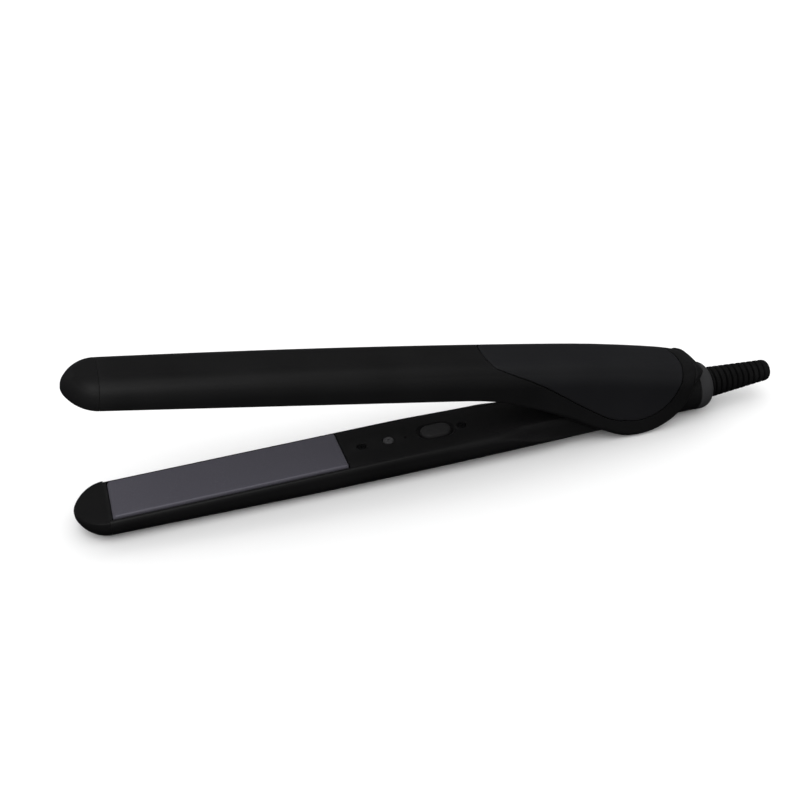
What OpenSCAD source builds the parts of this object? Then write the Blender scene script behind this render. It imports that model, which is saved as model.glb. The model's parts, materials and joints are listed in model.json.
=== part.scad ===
// Hair straightener (flat iron) with two hinged arms, shown open and lying on a table.
// Arm frame: the hinge pin runs along Y at x = 0, the arms run towards -X, the cord end
// points to +X, and the plates meet at z = 0. The lower arm is drawn in this frame.
// The upper arm is drawn closed, then turned open about the pin. stand() sets the
// finished iron down on its hinge cheeks and the flat under its front end.

/* [Arms] */
// Width of both arms
arm_w = 30; // [29:0.5:32]
// Wall thickness of the arm shells
wall = 1.8; // [1.6:0.1:2.0]
// Radius along the outer long edges of the arms
shoulder_r = 9; // [7:0.5:10]
// How far the arm rims stand back from the plane where the plates meet
rim_gap = 1.2; // [1.1:0.1:1.4]

/* [Plates] */
// Length of a heating plate
plate_l = 99; // [95:1:105]
// Width of a heating plate
plate_w = 25; // [24:0.5:25.5]
// Travel of a plate when it is pressed into its arm
float_travel = 0.5; // [0.3:0.1:0.5]

/* [Hinge] */
// Angle between the arms when they are let go
open_angle = 11.8; // [8:0.2:13]
// Distance from the hinge pin to the near end of the plates
pin_back = 147.5; // [145:0.5:152]
// Radius of the hinge pin
pin_r = 2.5; // [2:0.1:2.6]
// Height of the hinge pin above the plane where the plates meet
pin_z = 1; // [0.8:0.1:1.2]

/* [Controls] */
// Length of the oval power button
button_l = 13.5; // [12:0.5:15]
// Width of the oval power button
button_w = 8; // [7:0.5:9]
// Travel of the power button
button_travel = 0.8; // [0.5:0.1:1]

/* [Cord end] */
// Outer diameter of the round tube at the back of the lower arm
barrel_d = 22; // [21.5:0.1:22.2]
// Outer diameter of the collar round the cord swivel
collar_d = 22.6; // [22.4:0.1:22.6]
// Length of the strain relief boot
boot_l = 32; // [28:1:36]
// Diameter of the boot beside the collar
boot_d1 = 14.6; // [14:0.2:15]
// Diameter of the boot at its free end
boot_d2 = 9.8; // [9.4:0.2:10.5]
// Radius of the bore that the cord fills
cord_r = 3.25; // [3:0.05:3.5]

/* [Hidden] */
$fn = 48;
eps = 0.01;
big = 400;
half_w = arm_w / 2;

// Long direction
plate_x1 = -pin_back;
plate_x0 = plate_x1 - plate_l;
tip_joint_x = plate_x0 - 1.5;
tip_reach = 13.5;
tip_x = tip_joint_x - tip_reach;

// Side outline of the arms: shallow arcs, deepest near the hinge
arm_depth = 14.5;
lower_bow_x = -90;
lower_bow_r = 5200;
upper_height = 16;
upper_bow_x = -48;
tail_bow_r = 680;
// Spacing of the cross-sections along the arms
coarse_step = 16;
fine_step = 4;

// Hinge cheeks of the upper arm, outside the narrowed tail of the lower arm
cheek_in = 12.4;
waist_half = 12.1;
waist_x0 = -104;
waist_x1 = -76;
lobe_x = -12.4;
lobe_z = 8.2;
lobe_r = 28.4;
panel_r = 19.3;
panel_front_x = -87.2;
tail_cavity_x = -99.5;
bar_spare = 0.15;
barrel_way_z = 9.6;
tip_shoulder_r = 8;
hood_low = 5.4;
hood_round_x = 14.6;
hood_drop = 5;
tail_end_x = 21.2;
tail_round_x = 3;
tail_flat_half = 10.4;
panel_depth = 1.3;
seam = 0.35;

// Cord end
barrel_z = -7.4;
barrel_x0 = -60;
barrel_x1 = 21.5;
barrel_bore_r = 9;
collar_l = 8.2;
core_flange_x = 15.8;
ring_x = [6.4, 10.6];
core_neck_r = 6.5;
core_bore_r = 3.6;
spigot_r = 5;
spigot_l = 6;
run_gap = 0.05;
boot_x = barrel_x1 + collar_l + 0.3;

// Plates and what lies behind them
plate_face = 0.1;
plate_t = 2.2;
rib_y = 7.4;
rib_t = 1.2;
rib_h = 4.0;
heater_l = 76;
heater_w = 12.6;
heater_t = 2.3;
holder_z = 8.6;
holder_t = 1.4;
rail_y0 = 9.6;
rail_y1 = 11.8;
rail_z = 4;
post_x = [plate_x0 + 8, plate_x1 - 8];
screw_r = 1.1;

// Inner covers between plates and hinge
cover_x0 = plate_x1 + 0.9;
cover_x1 = -61;
cover_t = 1.8;
cover_screw_x = [-138.3, -92.2];
button_x = -104.5;
button_recess = 0.9;
button_proud = 0.9;
lens_x = -126.2;
lens_r = 2.3;
pinhole_x = -118.6;
board_z = -9.6;
board_t = 1.4;
board_x0 = -131;
board_x1 = -80;

// The lying pose: the cheeks and the flat under the front half of the lower arm touch the table
rest_tilt = 1.44;

// ---------------------------------------------------------------- frames

// The lower arm's centre line in the frame of the finished part
module stand() {
    translate([part_shift_x, 0, part_lift]) rotate([0, -rest_tilt, 0]) children();
}

// The upper arm turned open about the hinge pin
module opened() {
    translate([0, 0, pin_z]) rotate([0, open_angle, 0]) translate([0, 0, -pin_z]) children();
}

// The mirror image of a lower-arm piece, across the plane where the plates meet
module flipped() {
    mirror([0, 0, 1]) children();
}

// Lowest point of the cheeks after opening and laying down, which sets the height
function turn_z(x, z, a) = -x * sin(a) + z * cos(a);
function turn_x(x, z, a) = x * cos(a) + z * sin(a);
lobe_open_x = turn_x(lobe_x, lobe_z - pin_z, open_angle);
lobe_open_z = turn_z(lobe_x, lobe_z - pin_z, open_angle) + pin_z;
part_lift = lobe_r - turn_z(lobe_open_x, lobe_open_z, -rest_tilt);
rear_x = turn_x(boot_x + boot_l, barrel_z - boot_d2 / 2, -rest_tilt);
front_x = turn_x(tip_x, -4.5, -rest_tilt);
part_shift_x = -(rear_x + front_x) / 2;

// ---------------------------------------------------------------- outlines

function steps(a, b, s) = [for (i = [0 : ceil((b - a) / s)]) min(b, a + i * s)];
// Depth of the table below the plates' plane, in the arm frame
function table_depth(x) = (part_lift + x * sin(rest_tilt)) / cos(rest_tilt);
function lower_depth(x) =
    min(arm_depth - pow(x - lower_bow_x, 2) / (2 * lower_bow_r), table_depth(x));
upper_drop = upper_height - lower_depth(tip_joint_x);
function upper_rise(x) =
    x < upper_bow_x ? upper_height - upper_drop * pow((x - upper_bow_x) / (tip_joint_x - upper_bow_x), 2)
                    : upper_height - pow(x - upper_bow_x, 2) / (2 * tail_bow_r);
// Smooth step from 0 at a to 1 at b
function ease(x, a, b) =
    let (t = max(0, min(1, (x - a) / (b - a)))) t * t * (3 - 2 * t);
function lower_half(x) = half_w - (half_w - waist_half) * ease(x, waist_x0, waist_x1);

// Bar along X with rounded shoulders, z growing outwards from `low`
module bar(x0, x1, w, low, top, r) {
    translate([x0, 0, 0]) rotate([90, 0, 90]) linear_extrude(height = x1 - x0) {
        translate([-w, low]) square([2 * w, top - r - low]);
        translate([r - w, low]) square([2 * (w - r), top - low]);
        for (s = [-1, 1]) translate([s * (w - r), top - r]) circle(r = r, $fn = 64);
    }
}

// A side outline (x, z) run across Y
module across_y(w) {
    translate([0, w, 0]) rotate([90, 0, 0]) linear_extrude(height = 2 * w) children();
}

// Solid outline of the lower arm, z growing outwards from `from`
module lower_body(x0, x1, inset, from) {
    xs = steps(x0, x1, coarse_step);
    ys = concat([x0], steps(waist_x0, waist_x1, fine_step), [x1]);
    n = len(ys);
    intersection() {
        bar(x0, x1, half_w - inset, from, arm_depth + bar_spare - inset, shoulder_r - inset);
        across_y(half_w + 1) polygon(concat(
            [[x1, from - 1], [x0, from - 1]], [for (x = xs) [x, lower_depth(x) - inset]]));
        translate([0, 0, from - 1]) linear_extrude(height = 40) polygon(concat(
            [for (x = ys) [x, lower_half(x) - inset]],
            [for (i = [n - 1 : -1 : 0]) [ys[i], inset - lower_half(ys[i])]]));
    }
}

// Bullet-shaped plan of a tip cap, from the joint to the point
module tip_plan(inset) {
    a = tip_reach + 3.5 - inset;
    b = half_w - inset;
    x_mid = tip_joint_x + 3.5;
    polygon(concat(
        [[tip_joint_x, b], [tip_joint_x, -b]],
        [for (t = [-84 : 6 : 84]) if (cos(t) * a > 3.5) [x_mid - a * cos(t), b * sin(t)]]
    ));
}

// Side outline of a tip cap, z growing outwards: the inner face slopes back, the outer rounds
module tip_side(depth, inset) {
    n_x = tip_x + inset;
    nose_z = 4.6;
    polygon(concat(
        [[tip_joint_x, rim_gap + inset], [tip_joint_x, depth - inset]],
        [for (t = [10 : 10 : 90]) [tip_joint_x - (tip_joint_x - n_x) * sin(t),
                                   nose_z + (depth - nose_z - inset) * cos(t)]],
        [[n_x + 1.2, 3.3 + inset]]
    ));
}

module tip_solid(depth, inset) {
    intersection() {
        bar(tip_x - 1, tip_joint_x, half_w - inset, 0, depth - inset, tip_shoulder_r - inset);
        across_y(half_w) tip_side(depth, inset);
        linear_extrude(height = 40) tip_plan(inset);
    }
}

// ---------------------------------------------------------------- shared pieces

// A tip cap with a tongue that fits into the end of the housing, z growing outwards
module tip_cap(depth) {
    difference() {
        tip_solid(depth, 0);
        tip_solid(depth, wall);
    }
    intersection() {
        tip_solid(depth, wall / 2);
        translate([tip_joint_x - 2.4, -half_w, 4]) cube([2.4, arm_w, 1.6]);
    }
    translate([tip_joint_x - 2.4, -half_w + 5, 4]) cube([4, arm_w - 10, 1.6]);
}

// Heating plate: bevelled face, two ribs that grip the heater, z growing outwards
module plate() {
    bevel = 1.0;
    translate([plate_x0, 0, 0]) rotate([90, 0, 90]) linear_extrude(height = plate_l)
        polygon([
            [-plate_w / 2 + bevel, plate_face], [plate_w / 2 - bevel, plate_face],
            [plate_w / 2, plate_face + bevel], [plate_w / 2, plate_face + plate_t],
            [-plate_w / 2, plate_face + plate_t], [-plate_w / 2, plate_face + bevel]
        ]);
    for (s = [-1, 1]) translate([plate_x0 + 6, s * rib_y - rib_t / 2, plate_face + plate_t - eps])
        cube([plate_l - 12, rib_t, rib_h]);
}

// Ceramic heater strip between the plate's ribs
module heater() {
    x_mid = (plate_x0 + plate_x1) / 2;
    translate([x_mid - heater_l / 2, -heater_w / 2, plate_face + plate_t])
        cube([heater_l, heater_w, heater_t]);
}

// Bent spring clip that presses the heater against the plate
module heater_clip() {
    x_mid = (plate_x0 + plate_x1) / 2;
    z0 = plate_face + plate_t + heater_t;
    across_y(5) polygon([
        [x_mid - 34, z0], [x_mid - 26, z0], [x_mid - 22, z0 + 1.1], [x_mid - 4, z0 + 1.1],
        [x_mid, z0], [x_mid + 4, z0 + 1.1], [x_mid + 22, z0 + 1.1], [x_mid + 26, z0],
        [x_mid + 34, z0], [x_mid + 34, z0 + 0.4], [x_mid + 25.8, z0 + 0.4],
        [x_mid + 21.8, z0 + 1.5], [x_mid - 21.8, z0 + 1.5], [x_mid - 25.8, z0 + 0.4],
        [x_mid - 34, z0 + 0.4]
    ]);
}

// Tray under a plate: floor, two rails for the cushions, end walls, screw holes
module plate_holder() {
    x0 = plate_x0 + 0.6;
    x1 = plate_x1 - 0.6;
    difference() {
        union() {
            translate([x0, -rail_y1, holder_z - holder_t]) cube([x1 - x0, 2 * rail_y1, holder_t]);
            for (s = [-1, 1]) translate([x0 + 4, s > 0 ? rail_y0 : -rail_y1, rail_z])
                cube([x1 - x0 - 8, rail_y1 - rail_y0, holder_z - rail_z - holder_t + eps]);
        }
        translate([x0 + 20, -5, holder_z - holder_t - 1]) cube([x1 - x0 - 40, 10, holder_t + 2]);
        for (x = post_x) translate([x, 0, 0]) cylinder(r = screw_r, h = 20);
    }
}

// Silicone strips on the rails
module cushions() {
    low = plate_face + plate_t + float_travel + 0.3;
    for (s = [-1, 1]) translate([plate_x0 + 10, s > 0 ? rail_y0 : -rail_y1, low])
        cube([plate_l - 20, rail_y1 - rail_y0, rail_z - low]);
}

// Screws that hold the tray to the posts in the housing
module holder_screws() {
    for (x = post_x) translate([x, 0, 0]) {
        translate([0, 0, holder_z - holder_t - 0.8]) cylinder(r = 1.9, h = 0.8);
        translate([0, 0, holder_z - holder_t - eps]) cylinder(r = screw_r - 0.1, h = holder_t + 1.7);
    }
}

// Posts under the tray, part of each housing
module holder_posts(depths) {
    for (i = [0, 1]) translate([post_x[i], 0, holder_z]) difference() {
        cylinder(r = 2.6, h = depths[i] - wall / 2 - holder_z);
        translate([0, 0, -1]) cylinder(r = screw_r - 0.1, h = 2.8);
    }
}

// Flat cover with a plan that stays inside the rim
module cover_plate(x0, x1, side_gap) {
    xs = steps(x0, x1, 4);
    n = len(xs);
    translate([0, 0, rim_gap]) linear_extrude(height = cover_t) polygon(concat(
        [for (x = xs) [x, lower_half(x) - wall - side_gap]],
        [for (i = [n - 1 : -1 : 0]) [xs[i], wall + side_gap - lower_half(xs[i])]]
    ));
}

module cover_screw_set() {
    for (x = cover_screw_x) translate([x, 0, rim_gap + 0.5]) difference() {
        union() {
            cylinder(r = 1.9, h = 0.9);
            translate([0, 0, 0.8]) cylinder(r = screw_r - 0.1, h = 4.6);
        }
        translate([-1.3, -0.25, -1]) cube([2.6, 0.5, 1.5]);
        translate([-0.25, -1.3, -1]) cube([0.5, 2.6, 1.5]);
    }
}

// Holes for the cover screws: a head recess and a shank hole
module cover_screw_holes() {
    for (x = cover_screw_x) {
        translate([x, 0, 0]) cylinder(r = 2.2, h = rim_gap + 1.4);
        translate([x, 0, 0]) cylinder(r = screw_r + 0.1, h = 10);
    }
}

// Screw posts behind the covers
module cover_posts(depths) {
    for (i = [0, 1]) translate([cover_screw_x[i], 0, rim_gap + cover_t]) difference() {
        cylinder(r = 2.6, h = depths[i] - wall / 2 - rim_gap - cover_t);
        translate([0, 0, -1]) cylinder(r = screw_r - 0.1, h = 5.5);
    }
}

// ---------------------------------------------------------------- lower arm

// Side outline whose lower edge leads the arm's underside into the round tube
module barrel_side(inset) {
    lead_x = [barrel_x0 - 2, -50, -40, -28, -15, 0, barrel_x1 + 1];
    lead_z = [14.2, 15.0, 15.9, 16.8, 17.4, 17.8, 18.45];
    mirror([0, 1]) polygon(concat(
        [for (i = [0 : len(lead_x) - 1]) [lead_x[i], lead_z[i] - inset]],
        [[barrel_x1 + 1, -20], [barrel_x0 - 2, -20]]));
}

// Round tube at the cord end
module barrel_tube() {
    intersection() {
        translate([barrel_x0, 0, barrel_z]) rotate([0, 90, 0])
            cylinder(d = barrel_d, h = barrel_x1 - barrel_x0, $fn = 96);
        across_y(half_w) barrel_side(0);
    }
}

// Inside of the tube: open to the arm in front, a true bore round the swivel
module barrel_bore() {
    intersection() {
        translate([barrel_x0 - 1, 0, barrel_z]) rotate([0, 90, 0])
            cylinder(r = barrel_bore_r, h = 66, $fn = 96);
        across_y(half_w) barrel_side(wall);
    }
    translate([4, 0, barrel_z]) rotate([0, 90, 0])
        cylinder(r = barrel_bore_r, h = barrel_x1, $fn = 96);
}

module lower_housing() {
    color([0.05, 0.05, 0.055]) stand() difference() {
        union() {
            difference() {
                flipped() lower_body(tip_joint_x, -20, 0, rim_gap);
                flipped() lower_body(tip_joint_x - 1, -22, wall, -3);
            }
            barrel_tube();
            translate([0, -waist_half, pin_z]) rotate([-90, 0, 0])
                cylinder(r = 5, h = 2 * waist_half);
            flipped() holder_posts([for (x = post_x) lower_depth(x)]);
            flipped() cover_posts([for (x = cover_screw_x) lower_depth(x)]);
        }
        barrel_bore();
        // Window for the hinge spring between the two pin lugs
        translate([-8, -7.4, -6]) cube([16, 14.8, 20]);
        translate([0, -big / 2, pin_z]) rotate([-90, 0, 0]) cylinder(r = pin_r, h = big);
    }
}

module lower_tip() {
    color([0.06, 0.06, 0.065]) stand() flipped() tip_cap(lower_depth(tip_joint_x));
}

module lower_plate() {
    color([0.36, 0.35, 0.40]) stand() flipped() plate();
}

module lower_heater() {
    color([0.92, 0.90, 0.86]) stand() flipped() heater();
}

module lower_heater_clip() {
    color([0.75, 0.75, 0.76]) stand() flipped() heater_clip();
}

module lower_plate_holder() {
    color([0.10, 0.10, 0.10]) stand() flipped() plate_holder();
}

module lower_cushions() {
    color([0.65, 0.20, 0.16]) stand() flipped() cushions();
}

module lower_holder_screws() {
    color([0.70, 0.70, 0.72]) stand() flipped() holder_screws();
}

// Oval outline, in plan
module oval(l, w) {
    hull() for (s = [-1, 1]) translate([s * (l - w) / 2, 0]) circle(d = w);
}

module inner_cover() {
    color([0.05, 0.05, 0.055]) stand() flipped() difference() {
        cover_plate(cover_x0, cover_x1, 0.1);
        cover_screw_holes();
        translate([lens_x, 0, 0]) cylinder(r = lens_r, h = 10);
        translate([pinhole_x, 0, 0]) cylinder(r = 0.6, h = 10);
        translate([button_x, 0, 0]) {
            linear_extrude(height = 10) oval(button_l + 0.6, button_w + 0.6);
            linear_extrude(height = rim_gap + button_recess) oval(button_l + 4, button_w + 3);
        }
    }
}

module inner_cover_screws() {
    color([0.12, 0.12, 0.12]) stand() flipped() cover_screw_set();
}

module power_button() {
    color([0.13, 0.13, 0.135]) stand() flipped() translate([button_x, 0, 0]) {
        translate([0, 0, rim_gap - button_proud])
            linear_extrude(height = button_proud + cover_t + 0.7) oval(button_l, button_w);
        translate([0, 0, rim_gap + cover_t + 0.05])
            linear_extrude(height = 0.7) oval(button_l + 2, button_w + 2);
    }
}

module indicator_lens() {
    color([0.30, 0.30, 0.31]) stand() flipped() translate([lens_x, 0, 0]) difference() {
        union() {
            translate([0, 0, rim_gap - 0.3]) cylinder(r = lens_r, h = 2.1);
            translate([0, 0, rim_gap + cover_t]) cylinder(r = lens_r + 0.8, h = 0.7);
        }
        translate([0, 0, rim_gap - 1]) cylinder(r = 0.5, h = 1.2);
    }
}

module circuit_board() {
    color([0.10, 0.30, 0.16]) stand() difference() {
        translate([board_x0, -10, board_z]) cube([board_x1 - board_x0, 20, board_t]);
        translate([cover_screw_x[1], 0, board_z - 1]) cylinder(r = 3, h = 4);
    }
}

module button_switch() {
    top = -(rim_gap + cover_t + 0.75 + 0.05 + button_travel);
    color([0.2, 0.2, 0.21]) stand() translate([button_x, 0, 0]) {
        translate([-3, -3, board_z + board_t]) cube([6, 6, top - 0.6 - board_z - board_t]);
        translate([0, 0, top - 0.6 - eps]) cylinder(r = 1.6, h = 0.6);
    }
}

module indicator_led() {
    color([0.85, 0.30, 0.20]) stand() translate([lens_x, 0, board_z + board_t])
        cylinder(r = 1.5, h = 1.4);
}

module lower_wires() {
    color([0.75, 0.12, 0.10]) stand() for (s = [-1, 1]) {
        sweep([[-79.8, s * 6, board_z + 1], [-70, s * 6, -9.4], [-60, s * 4.5, -10], [-30, s * 4, -10.4],
               [-2, s * 6, -9.6], [5, s * 8, -8.6]], 0.7, 8);
        sweep([[-131.2, s * 7, board_z + 1], [-141, s * 7.8, -8.6], [-147, s * 8.8, -6.2],
               [-158, s * 8.8, -6]], 0.6, 8);
    }
}

module hinge_pin() {
    color([0.72, 0.72, 0.74]) stand() translate([0, -(half_w - 1.5), pin_z]) rotate([-90, 0, 0])
        cylinder(r = pin_r, h = 2 * (half_w - 1.5));
}

// Torsion spring round the pin: a coil and two legs, swept as a round wire
module hinge_spring() {
    wire_r = 0.7;
    coil_r = 3.6;
    turns = 6;
    pitch = 1.7;
    n = 14;
    sides = 8;
    count = turns * n;
    y0 = -turns * pitch / 2;
    path = concat(
        [[-16, y0, pin_z - coil_r - 2.2], [-10, y0, pin_z - coil_r - 1.4]],
        [for (i = [0 : count]) let (a = 270 - i * 360 / n)
            [coil_r * cos(a), y0 + pitch * i / n, pin_z + coil_r * sin(a)]],
        [[-5, y0 + turns * pitch, pin_z - coil_r + 0.3]]
    );
    color([0.70, 0.70, 0.70]) stand() sweep(path, wire_r, sides);
}

function unit(v) = v / norm(v);
function tangent(p, i) = unit(p[min(i + 1, len(p) - 1)] - p[max(i - 1, 0)]);
function ring(p, i, r, sides) =
    let (t = tangent(p, i), u = unit(cross(t, [0.02, 1, 0.01])), v = cross(t, u))
    [for (k = [0 : sides - 1]) p[i] + r * (cos(k * 360 / sides) * u + sin(k * 360 / sides) * v)];

// Round wire swept along a list of points
module sweep(p, r, sides) {
    n = len(p);
    points = [for (i = [0 : n - 1]) each ring(p, i, r, sides)];
    faces = concat(
        [[for (k = [0 : sides - 1]) k]],
        [for (i = [0 : n - 2], k = [0 : sides - 1])
            [i * sides + k, (i + 1) * sides + k,
             (i + 1) * sides + (k + 1) % sides, i * sides + (k + 1) % sides]],
        [[for (k = [sides - 1 : -1 : 0]) (n - 1) * sides + k]]
    );
    polyhedron(points = points, faces = faces);
}

// ---------------------------------------------------------------- cord end

// Turned shapes about the tube's axis, drawn as (x along the axis, radius)
module turned() {
    translate([0, 0, barrel_z]) rotate([0, 90, 0]) rotate_extrude($fn = 96)
        rotate([0, 0, 90]) mirror([0, 1]) children();
}

module rear_collar() {
    x0 = barrel_x1;
    x1 = barrel_x1 + collar_l;
    round_l = 4.6;
    round_r = 3.2;
    color([0.20, 0.20, 0.21]) stand() turned() polygon(concat(
        [[x0 - 3, core_neck_r + run_gap], [x1, core_neck_r + run_gap]],
        [for (t = [0 : 15 : 90])
            [x1 - round_l + round_l * cos(t), collar_d / 2 - round_r + round_r * sin(t)]],
        [[x0, collar_d / 2], [x0, barrel_bore_r], [x0 - 3, barrel_bore_r]]
    ));
}

module swivel_core() {
    stub_r = 5.2;
    flange_r = barrel_bore_r - 0.3;
    color([0.15, 0.15, 0.16]) stand() turned() polygon([
        [4.5, core_bore_r], [4.5, stub_r], [core_flange_x - 2.5, stub_r],
        [core_flange_x - 2.5, flange_r], [core_flange_x + 2.4, flange_r],
        [core_flange_x + 2.4, core_neck_r], [boot_x, core_neck_r], [boot_x, spigot_r],
        [boot_x + spigot_l, spigot_r], [boot_x + spigot_l, core_bore_r]
    ]);
}

module slip_rings() {
    color([0.78, 0.60, 0.28]) stand() for (x = ring_x) turned() polygon([
        [x, 5.2], [x, 5.8], [x + 2.2, 5.8], [x + 2.2, 5.2]
    ]);
}

// Two leaf contacts that rub on the slip rings
module brush_contacts() {
    color([0.80, 0.64, 0.32]) stand() for (s = [-1, 1]) {
        x = s < 0 ? ring_x[0] : ring_x[1];
        translate([x + 0.3, s > 0 ? 6 : -6.5, barrel_z - 2.5]) cube([1.6, 0.5, 5]);
        translate([x + 0.3, s > 0 ? 6 : -8.6, barrel_z - 2.5]) cube([1.6, 2.6, 0.8]);
    }
}

// Ribbed rubber boot with the cord bore
module strain_relief_boot() {
    ribs = 9;
    root_x = boot_x + 1.4;
    rib_run = boot_l - 5.2;
    rib_pitch = rib_run / ribs;
    end_x = boot_x + boot_l;
    groove = 0.8;
    color([0.04, 0.04, 0.045]) stand() difference() {
        turned() polygon(concat(
            [[boot_x, 3.0], [boot_x, boot_d1 / 2], [root_x, boot_d1 / 2]],
            [for (i = [0 : ribs - 1], k = [0 : 3])
                let (x = root_x + (i + [0.12, 0.42, 0.58, 0.88][k]) * rib_pitch,
                     t = (x - boot_x) / boot_l,
                     r = boot_d1 / 2 + (boot_d2 - boot_d1) / 2 * t)
                [x, k == 0 || k == 3 ? r - groove : r]],
            [[root_x + rib_run, boot_d2 / 2 + 0.35], [end_x - 1.6, boot_d2 / 2],
             [end_x - 0.5, boot_d2 / 2 - 0.5], [end_x, boot_d2 / 2 - 1.5], [end_x, 3.0]]
        ));
        // Socket moulded over the swivel core
        translate([boot_x - 1, 0, barrel_z]) rotate([0, 90, 0])
            cylinder(r = spigot_r, h = spigot_l + 1);
        translate([boot_x - 1, 0, barrel_z]) rotate([0, 90, 0])
            cylinder(r = cord_r, h = boot_l + 2);
    }
}

// ---------------------------------------------------------------- upper arm

// Half width: straight, then rounded behind the hinge
function upper_half(x) =
    let (t = max(0, min(1, (x - tail_round_x) / (tail_end_x - tail_round_x))))
    half_w - (half_w - tail_flat_half) * (1 - sqrt(1 - t * t));
// Top edge with the corner at the end of the hood
function upper_top(x) =
    let (t = max(0, min(1, (x - hood_round_x) / (tail_end_x - hood_round_x))))
    upper_rise(x) - hood_drop * (1 - sqrt(1 - t * t));
function upper_stations(x0, x1) = concat(
    [x0], [for (x = [-232 : coarse_step : hood_round_x]) if (x > x0 + 1 && x < x1 - 1) x],
    [for (x = [hood_round_x : 1.6 : tail_end_x]) if (x > x0 + 1 && x < x1 - 1) x], [x1]);

// Bar with the upper arm's back and its rounded tail, open to z = `low` below
module upper_body(x0, x1, inset, side_inset, low) {
    xs = upper_stations(x0, x1);
    ys = concat([x0], [for (x = [tail_round_x : 1.8 : tail_end_x]) if (x < x1 - 1) x], [x1]);
    n = len(ys);
    intersection() {
        bar(x0, x1, half_w - side_inset, low, upper_height + bar_spare - inset, shoulder_r - inset);
        across_y(half_w + 1) polygon(concat(
            [[x1, low - 1], [x0, low - 1]], [for (x = xs) [x, upper_top(x) - inset]]));
        translate([0, 0, low - 1]) linear_extrude(height = 80) polygon(concat(
            [for (x = ys) [x, upper_half(x) - side_inset]],
            [for (i = [n - 1 : -1 : 0]) [ys[i], side_inset - upper_half(ys[i])]]));
    }
}

// Side outline of the upper arm: rim, cheeks, lobe and the hood over the tube
module upper_side() {
    polygon([
        [tip_joint_x - 1, 40], [tip_joint_x - 1, rim_gap], [-96, rim_gap], [-88, 0.9],
        [-81, 0.3], [-71, -1.9], [-61, -4.7], [-49.5, -8.7], [-40, -12.4], [-31, -15.8],
        [-24, -17.6], [lobe_x, 0], [12, hood_low], [tail_end_x + 1, hood_low],
        [tail_end_x + 1, 40]
    ]);
    translate([lobe_x, lobe_z]) circle(r = lobe_r, $fn = 128);
}

// Side outline of the saddle-shaped hinge panel
module panel_side(grow) {
    r = panel_r + grow;
    polygon(concat(
        [[panel_front_x - grow, 40], [panel_front_x - grow, 16.2], [-84.5, 14.6 - grow],
         [-80, 13.5 - grow], [-75, 12 - grow], [-68.5, 10.3 - grow], [-61, 7.4 - grow],
         [-52.5, 3.1 - grow], [-43.5, -1.6 - grow], [-33.5, -6.5 - grow], [-27.5, -9 - grow]],
        [for (a = [-112 : 8 : -8]) [lobe_x - 1 + r * cos(a), lobe_z - 0.2 + r * sin(a)]],
        [[7 + grow, 9], [7.8 + grow, 12.2], [9.3 + grow, 40]]
    ));
}

// Hollow inside of the upper arm: the arm's own cavity and the space between the cheeks
module upper_cavity() {
    upper_body(tip_joint_x - 1, tail_cavity_x + 1, wall, wall, 0);
    // Tail part, between the cheeks and open below
    upper_body(tail_cavity_x, tail_end_x - 2, wall + panel_depth, half_w - cheek_in, -40);
    // Way out for the tube of the lower arm at every angle
    translate([0, -barrel_d / 2 - 1.2, -40]) cube([60, barrel_d + 2.4, 40 + barrel_way_z]);
}

// The upper arm's outside
module upper_outside(x0, x1) {
    intersection() {
        upper_body(x0, x1, 0, 0, -30);
        across_y(half_w + 2) upper_side();
    }
}

// The upper arm with the shallow seat of the hinge panel
module upper_shape() {
    difference() {
        upper_outside(tip_joint_x, tail_end_x);
        difference() {
            across_y(half_w + 2) panel_side(0);
            upper_body(-110, tail_end_x - 2, panel_depth, panel_depth, -35);
        }
    }
}

module upper_housing() {
    color([0.055, 0.055, 0.06]) stand() opened() difference() {
        union() {
            difference() {
                upper_shape();
                upper_cavity();
            }
            holder_posts([for (x = post_x) upper_rise(x)]);
            cover_posts([upper_rise(cover_screw_x[0]), upper_rise(cover_screw_x[1]) - panel_depth - 0.5]);
        }
        translate([0, -big / 2, pin_z]) rotate([-90, 0, 0]) cylinder(r = pin_r + run_gap, h = big);
    }
}

module hinge_panel() {
    color([0.10, 0.10, 0.115]) stand() opened() difference() {
        intersection() {
            upper_outside(-108, tail_end_x - 1);
            across_y(half_w + 2) panel_side(-seam);
        }
        upper_body(-110, tail_end_x - 2, panel_depth, panel_depth, -35);
    }
}

module upper_tip() {
    color([0.06, 0.06, 0.065]) stand() opened() tip_cap(lower_depth(tip_joint_x));
}

module upper_plate() {
    color([0.36, 0.35, 0.40]) stand() opened() plate();
}

module upper_heater() {
    color([0.92, 0.90, 0.86]) stand() opened() heater();
}

module upper_heater_clip() {
    color([0.75, 0.75, 0.76]) stand() opened() heater_clip();
}

module upper_plate_holder() {
    color([0.10, 0.10, 0.10]) stand() opened() plate_holder();
}

module upper_cushions() {
    color([0.65, 0.20, 0.16]) stand() opened() cushions();
}

module upper_holder_screws() {
    color([0.70, 0.70, 0.72]) stand() opened() holder_screws();
}

module upper_inner_cover() {
    cover_half = half_w - wall - 0.1;
    color([0.05, 0.05, 0.055]) stand() opened() difference() {
        translate([0, 0, rim_gap]) linear_extrude(height = cover_t) polygon([
            [cover_x0, cover_half], [tail_cavity_x - 0.2, cover_half],
            [tail_cavity_x - 0.2, cheek_in - 0.1], [-64, cheek_in - 0.1],
            [-64, 0.1 - cheek_in], [tail_cavity_x - 0.2, 0.1 - cheek_in],
            [tail_cavity_x - 0.2, -cover_half], [cover_x0, -cover_half]
        ]);
        cover_screw_holes();
    }
}

module upper_cover_screws() {
    color([0.12, 0.12, 0.12]) stand() opened() cover_screw_set();
}

module thermal_fuse() {
    color([0.80, 0.78, 0.72]) stand() opened() translate([-141, 6.5, 6.4]) rotate([0, 90, 0])
        cylinder(r = 1.6, h = 9);
}

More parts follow.
